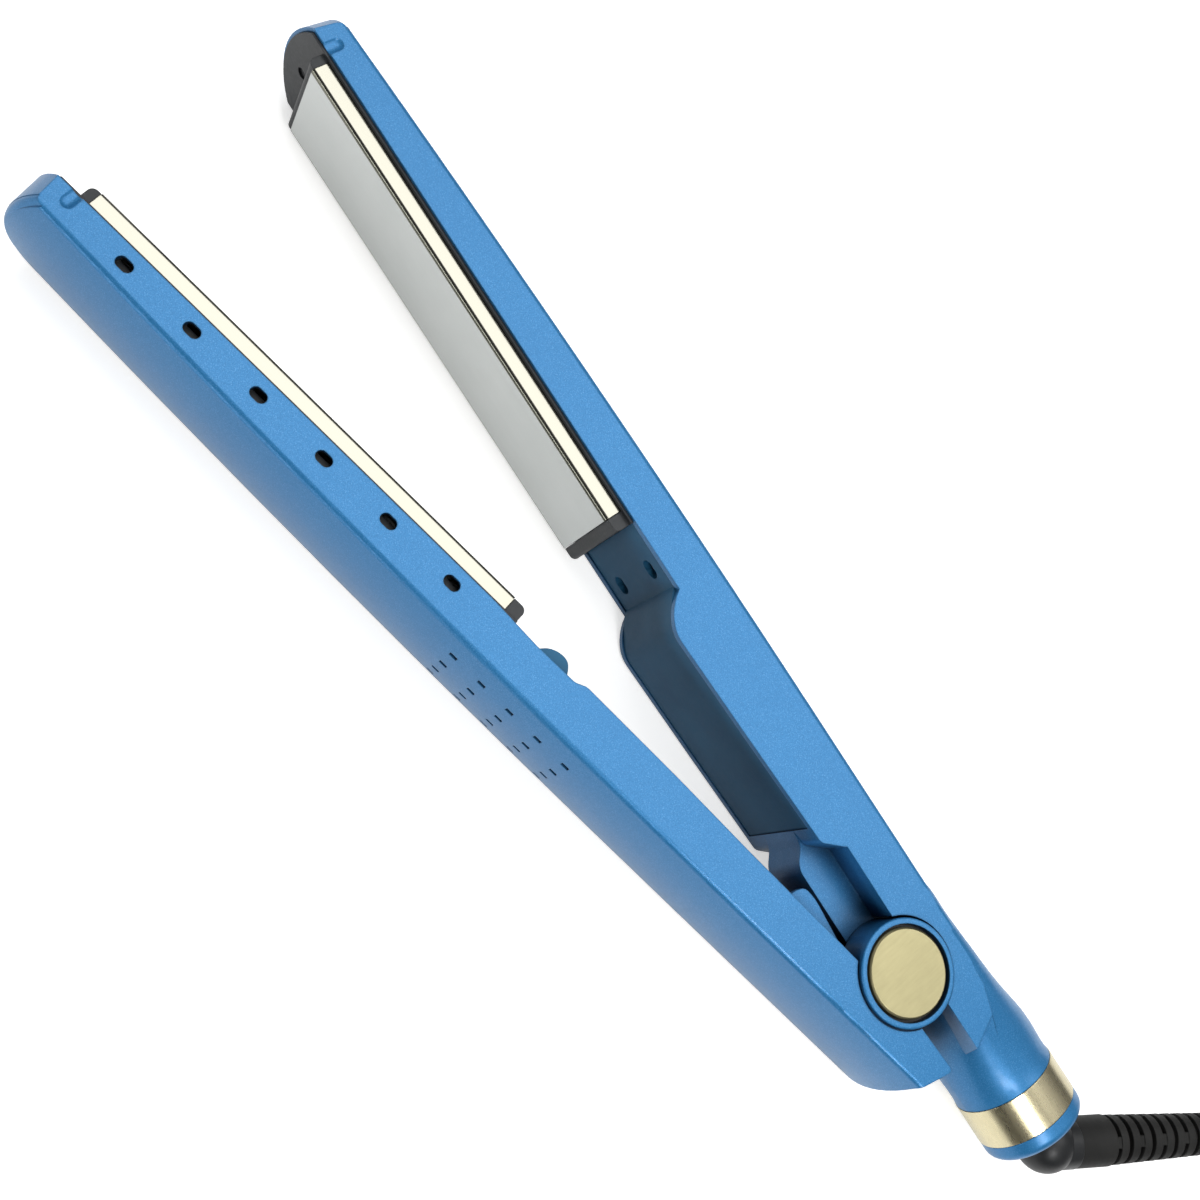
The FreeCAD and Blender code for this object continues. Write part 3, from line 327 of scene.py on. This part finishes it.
def woven_sleeve():
    """Glass-fibre sleeve over the heater leads."""
    s = Surface("woven_sleeve", Roughness=0.85)
    wave = s.add("ShaderNodeTexWave", wave_type="BANDS", bands_direction="DIAGONAL")
    wave.inputs["Scale"].default_value = 420.0
    s.link(s.place, wave.inputs["Vector"])
    weave = wave.outputs["Fac"]
    s.set("Base Color", s.mix(weave, (0.62, 0.59, 0.5), (0.78, 0.75, 0.66)))
    s.bump(weave, 0.4, 0.0001)
    return s.material


def red_lens():
    s = Surface("red_lens", Roughness=0.12, Transmission_Weight=0.5, IOR=1.49)
    haze = s.noise(400.0, 2.0)
    s.set("Base Color", s.mix(haze, (0.55, 0.02, 0.015), (0.75, 0.05, 0.03)))
    return s.material


def solder_mask():
    s = Surface("solder_mask", Roughness=0.35, Coat_Weight=0.4)
    wave = s.add("ShaderNodeTexBrick")
    wave.inputs["Scale"].default_value = 260.0
    wave.inputs["Mortar Size"].default_value = 0.06
    s.link(s.place, wave.inputs["Vector"])
    s.set("Base Color", s.mix(wave.outputs["Fac"], (0.012, 0.10, 0.045), (0.03, 0.20, 0.09)))
    s.bump(wave.outputs["Fac"], 0.2, 0.00004)
    return s.material


def plastics():
    """Moulded parts: colour, lighter mottling, roughness, grain scale, grain depth and shine."""
    table = {
        "carrier_black": ((0.016, 0.019, 0.022), (0.030, 0.034, 0.038), 0.50, 1400.0, 0.06 * MM, 0.5),
        "silicone_grey": ((0.25, 0.26, 0.27), (0.33, 0.34, 0.35), 0.70, 700.0, 0.06 * MM, 0.5),
        "wire_sleeve": ((0.35, 0.03, 0.025), (0.45, 0.05, 0.04), 0.50, 500.0, 0.04 * MM, 0.5),
        "component_black": ((0.020, 0.020, 0.022), (0.040, 0.040, 0.042), 0.35, 900.0, 0.04 * MM, 0.5),
        "washer_white": ((0.75, 0.75, 0.72), (0.82, 0.82, 0.80), 0.45, 600.0, 0.03 * MM, 0.5),
        "seat_black": ((0.012, 0.014, 0.016), (0.020, 0.022, 0.025), 0.50, 1200.0, 0.05 * MM, 0.5),
        "swivel_black": ((0.012, 0.013, 0.014), (0.022, 0.023, 0.024), 0.40, 1100.0, 0.05 * MM, 0.35),
        "cord_rubber": ((0.010, 0.010, 0.0095), (0.018, 0.018, 0.017), 0.60, 800.0, 0.08 * MM, 0.25),
        "core_insulation": ((0.03, 0.12, 0.40), (0.05, 0.16, 0.50), 0.45, 500.0, 0.04 * MM, 0.5),
        "switch_black": ((0.014, 0.014, 0.016), (0.030, 0.030, 0.033), 0.35, 1000.0, 0.04 * MM, 0.5),
    }
    return {slot: textured_plastic(slot, *values) for slot, values in table.items()}


def metals():
    """Plain metal parts: colour, darker mottling and roughness."""
    table = {
        "spring_steel": ((0.55, 0.55, 0.56), (0.40, 0.40, 0.41), 0.30),
        "screw_steel": ((0.10, 0.105, 0.12), (0.05, 0.053, 0.06), 0.40),
        "bush_bronze": ((0.55, 0.36, 0.17), (0.40, 0.25, 0.11), 0.45),
        "pin_steel": ((0.60, 0.60, 0.62), (0.48, 0.48, 0.50), 0.22),
        "contact_brass": ((0.78, 0.60, 0.28), (0.60, 0.45, 0.20), 0.25),
    }
    return {slot: plain_metal(slot, *values) for slot, values in table.items()}


def finishes():
    """One material for each slot of the record."""
    special = {
        "blue_shell": blue_paint(),
        "ceramic_white": ceramic(),
        "lead_tape": woven_sleeve(),
        "champagne_metal": champagne("champagne_disc", (0.47, 0.425, 0.24), 0.42, (1.0, 0.12, 1.0)),
        "board_green": solder_mask(),
        "lens_red": red_lens(),
    }
    return {**special, **plastics(), **metals()}


def dress_nodes():
    """Gives every CAD node its finish."""
    look = finishes()
    slots = {part["node"]: part["material_slot"] for part in frame["record"]["subparts"]}
    cover = cover_blue_with_painted_shade()
    own = {
        "main_heating_plate": plate_metal("main_plate_metal", 0.0),
        "lever_heating_plate": plate_metal("lever_plate_metal", OPEN_ANGLE),
        "barrel_band": champagne("champagne_band", (0.68, 0.61, 0.40), 0.27, (0.2, 1.0, 1.0)),
        "main_arm_cover": cover,
        "lever_arm_cover": cover,
    }
    for name, node in frame["nodes"].items():
        node.data.materials.clear()
        node.data.materials.append(own.get(name) or look[slots[name]])


# ------------------------------------------------------------------ small pieces

def strand(path, radius, sides=8):
    """Vertices and faces of a round wire along path, with closed ends."""
    verts, faces = [], []
    for i, place in enumerate(path):
        ahead = path[min(i + 1, len(path) - 1)] - path[max(i - 1, 0)]
        across = ahead.cross(Vector((0, 0, 1))).normalized()
        other = ahead.cross(across).normalized()
        for k in range(sides):
            a = 2 * math.pi * k / sides
            verts.append(place + across * (radius * math.cos(a)) + other * (radius * math.sin(a)))
    for i in range(len(path) - 1):
        for k in range(sides):
            a, b = i * sides + k, i * sides + (k + 1) % sides
            faces.append((a, b, b + sides, a + sides))
    faces.append(tuple(range(sides)))
    last = len(verts) - sides
    faces.append(tuple(reversed(range(last, len(verts)))))
    return verts, faces


def strand_path(centre, side, number):
    """Centre line of one bared strand; strand 0 runs down the middle."""
    across = CORD_AXIS.cross(Vector((0, 0, 1)))
    ring = STRAND_RING if number else 0.0
    path = []
    for step in range(STRAND_STEPS + 1):
        along = step / STRAND_STEPS
        a = 2 * math.pi * number / OUTER_STRANDS + STRAND_TWIST * along
        spread = ring * (1.0 + STRAND_SPLAY * along)
        offset = across * (side * CORE_SPACING + spread * math.cos(a)) + Vector((0, 0, spread * math.sin(a)))
        path.append(centre + offset + CORD_AXIS * (STRAND_LENGTH * along - STRAND_ROOT))
    return path


def copper_ends(finish):
    """Bare twisted strands past the two insulated cores at the cut end of the cord."""
    low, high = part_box("cord_cores")
    middle = (low + high) / 2
    centre = Vector((middle.x, middle.y, HINGE_Z)) + CORD_AXIS * CORE_LENGTH / 2
    for side, letter in ((-1, "a"), (1, "b")):
        verts, faces = [], []
        for number in range(OUTER_STRANDS + 1):
            more_verts, more_faces = strand(strand_path(centre, side, number), STRAND_RADIUS)
            faces += [tuple(i + len(verts) for i in face) for face in more_faces]
            verts += more_verts
        mesh = bpy.data.meshes.new("copper_strands")
        mesh.from_pydata(verts, [], faces)
        mesh.materials.append(finish)
        obj = bpy.data.objects.new("copper_strands_" + letter, mesh)
        bpy.context.scene.collection.objects.link(obj)
        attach(obj, "cord_swivel")


# ------------------------------------------------------------------ studio

def floor():
    """Pale worktop.  It shows white to the camera and a softer grey to bounced light."""
    mesh = bpy.data.meshes.new("floor")
    half = FLOOR_HALF
    corners = [(-half, -half, 0), (half, -half, 0), (half, half, 0), (-half, half, 0)]
    mesh.from_pydata(corners, [], [(0, 1, 2, 3)])
    obj = bpy.data.objects.new("floor", mesh)
    bpy.context.scene.collection.objects.link(obj)
    s = Surface("floor_white", Roughness=0.7)
    path = s.add("ShaderNodeLightPath")
    pale = s.mix(s.noise(6.0, 2.0), (0.86, 0.86, 0.855), (0.89, 0.89, 0.885))
    bounce = (FLOOR_BOUNCE,) * 3
    s.set("Base Color", s.mix(path.outputs["Is Diffuse Ray"], pale, bounce))
    s.shader.inputs["Emission Color"].default_value = (1.0, 1.0, 0.99, 1.0)
    glow = s.add("ShaderNodeMath", operation="MAXIMUM")
    s.link(s.remap(path.outputs["Is Camera Ray"], 0.0, FLOOR_LIFT), glow.inputs[0])
    s.link(s.remap(path.outputs["Is Glossy Ray"], 0.0, FLOOR_SHEEN), glow.inputs[1])
    s.set("Emission Strength", glow.outputs[0])
    mesh.materials.append(s.material)


def area_light(name, place, target, size, power):
    data = bpy.data.lights.new(name, "AREA")
    data.shape = "RECTANGLE"
    data.size, data.size_y = size
    data.energy = power
    obj = bpy.data.objects.new(name, data)
    bpy.context.scene.collection.objects.link(obj)
    obj.location = place
    obj.rotation_mode = "QUATERNION"
    obj.rotation_quaternion = (Vector(target) - Vector(place)).to_track_quat("-Z", "Y")


def world():
    """Soft studio surround: bright overhead, dim at the horizon and on the +Y side."""
    scene = bpy.context.scene
    scene.world = bpy.data.worlds.new("studio")
    scene.world.use_nodes = True
    tree = scene.world.node_tree
    background = tree.nodes["Background"]
    coords = tree.nodes.new("ShaderNodeTexCoord")
    split = tree.nodes.new("ShaderNodeSeparateXYZ")
    ramp = tree.nodes.new("ShaderNodeValToRGB")
    tree.links.new(coords.outputs["Generated"], split.inputs["Vector"])
    tree.links.new(split.outputs["Z"], ramp.inputs["Fac"])
    elements = ramp.color_ramp.elements
    elements[0].position, elements[0].color = 0.0, (0.10, 0.105, 0.115, 1)
    elements[1].position, elements[1].color = 1.0, (1.0, 1.0, 1.0, 1)
    for place, value in SKY_STOPS:
        stop = elements.new(place)
        stop.color = (value, value, value * SKY_TINT, 1)
    shade = tree.nodes.new("ShaderNodeMapRange")
    shade.inputs["From Min"].default_value = 0.0
    shade.inputs["From Max"].default_value = DIM_REACH
    shade.inputs["To Min"].default_value = 1.0
    shade.inputs["To Max"].default_value = DIM_SIDE
    dimmed = tree.nodes.new("ShaderNodeVectorMath")
    dimmed.operation = "SCALE"
    tree.links.new(split.outputs["Y"], shade.inputs["Value"])
    tree.links.new(ramp.outputs["Color"], dimmed.inputs[0])
    tree.links.new(shade.outputs["Result"], dimmed.inputs["Scale"])
    tree.links.new(dimmed.outputs["Vector"], background.inputs["Color"])
    background.inputs["Strength"].default_value = WORLD_STRENGTH
    backdrop = tree.nodes.new("ShaderNodeBackground")
    backdrop.inputs["Color"].default_value = BACKDROP
    path = tree.nodes.new("ShaderNodeLightPath")
    choose = tree.nodes.new("ShaderNodeMixShader")
    tree.links.new(path.outputs["Is Camera Ray"], choose.inputs["Fac"])
    tree.links.new(background.outputs["Background"], choose.inputs[1])
    tree.links.new(backdrop.outputs["Background"], choose.inputs[2])
    tree.links.new(choose.outputs["Shader"], tree.nodes["World Output"].inputs["Surface"])


def camera():
    """Camera at the picture's viewing angle, rolled so that the tips point up and left."""
    azimuth, elevation = math.radians(VIEW_AZIMUTH), math.radians(VIEW_ELEVATION)
    level = math.cos(elevation)
    back = Vector((math.sin(azimuth) * level, -math.cos(azimuth) * level, math.sin(elevation)))
    hint = math.radians(UP_HINT_ANGLE)
    right = Vector((math.cos(hint), math.sin(hint), 0)).cross(back).normalized()
    up = back.cross(right)
    data = bpy.data.cameras.new("camera")
    data.lens = LENS
    data.sensor_width = 36.0
    data.clip_start = 0.01
    obj = bpy.data.objects.new("camera", data)
    bpy.context.scene.collection.objects.link(obj)
    turn = Matrix((right, up, back)).transposed()
    obj.matrix_world = Matrix.Translation(AIM + back * VIEW_DISTANCE) @ turn.to_4x4()
    bpy.context.scene.camera = obj


def studio():
    scene = bpy.context.scene
    scene.view_settings.view_transform = "Standard"
    floor()
    world()
    for light in LIGHTS:
        area_light(*light)
    camera()


dress_nodes()
copper_ends(plain_metal("copper_strand", (0.72, 0.33, 0.18), (0.5, 0.2, 0.1), 0.3))
studio()
